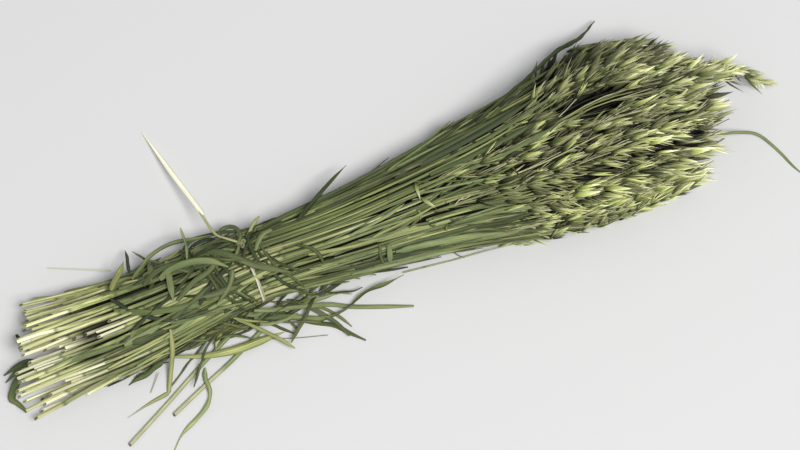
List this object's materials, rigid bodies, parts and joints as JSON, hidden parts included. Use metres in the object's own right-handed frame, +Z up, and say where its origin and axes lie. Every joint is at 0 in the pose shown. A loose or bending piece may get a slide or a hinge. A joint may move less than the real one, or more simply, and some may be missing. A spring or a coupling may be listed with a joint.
{
  "type": "bundle of dried oats",
  "caption": "Tied bundle of dried oat straw with its heads on, lying on its side; for dried flower displays and harvest decoration.",
  "frame": {"origin": "middle of the flat underside of the tie, on the surface the bundle lies on", "axes": "+X from the cut ends to the heads, +Y to the side where the tie's tail sticks out, +Z up from the surface"},
  "size_m": [0.7042, 0.28, 0.0849],
  "materials": {
    "oat_straw": "dry, faintly glossy green-yellow straw with fine ribs",
    "pale_straw": "dry pale straw",
    "leaf_sage": "dry sage-green leaf with parallel veins",
    "leaf_dark": "dry dark green leaf",
    "leaf_yellow": "dry yellow-green leaf",
    "raffia": "pale fibrous raffia, slightly glossy"
  },
  "bodies": {
    "root": {"stalk_01": "oat_straw", "stalk_02": "oat_straw", "stalk_03": "oat_straw", "stalk_04": "oat_straw", "stalk_05": "oat_straw", "stalk_06": "oat_straw", "stalk_07": "oat_straw", "stalk_08": "oat_straw", "stalk_09": "oat_straw", "stalk_10": "oat_straw", "stalk_11": "oat_straw", "stalk_12": "oat_straw", "stalk_13": "oat_straw", "stalk_14": "oat_straw", "stalk_15": "oat_straw", "stalk_16": "oat_straw", "stalk_17": "oat_straw", "stalk_18": "oat_straw", "stalk_19": "oat_straw", "stalk_20": "oat_straw", "stalk_21": "oat_straw", "stalk_22": "oat_straw", "stalk_23": "oat_straw", "stalk_24": "oat_straw", "stalk_25": "oat_straw", "stalk_26": "oat_straw", "stalk_27": "oat_straw", "stalk_28": "oat_straw", "stalk_29": "oat_straw", "stalk_30": "oat_straw", "stalk_31": "oat_straw", "stalk_32": "oat_straw", "stalk_33": "oat_straw", "stalk_34": "oat_straw", "stalk_35": "oat_straw", "stalk_36": "oat_straw", "stalk_37": "oat_straw", "stalk_38": "oat_straw", "loose_stalk_thin": "pale_straw", "loose_stem_long": "pale_straw", "loose_stem_short": "pale_straw", "leaf_over_tie": "leaf_sage", "leaf_hanging_front": "leaf_sage", "leaf_pointing_away": "leaf_dark", "leaf_right_straight": "leaf_sage", "leaf_right_twisted": "leaf_sage", "leaf_right_dark": "leaf_dark", "leaf_broad": "leaf_yellow", "leaf_curly": "leaf_sage", "leaf_bent_yellow": "leaf_yellow", "leaf_crumpled": "leaf_sage", "leaf_kinked_end": "leaf_dark", "leaf_arched_back": "leaf_sage", "leaf_upright_green": "leaf_yellow", "leaf_upright_dark": "leaf_dark", "leaf_along_heads": "leaf_dark", "leaf_past_heads": "leaf_sage", "leaf_along_far_edge": "leaf_dark", "leaf_along_near_edge": "leaf_sage", "tie": "raffia"}
  },
  "joints": []
}
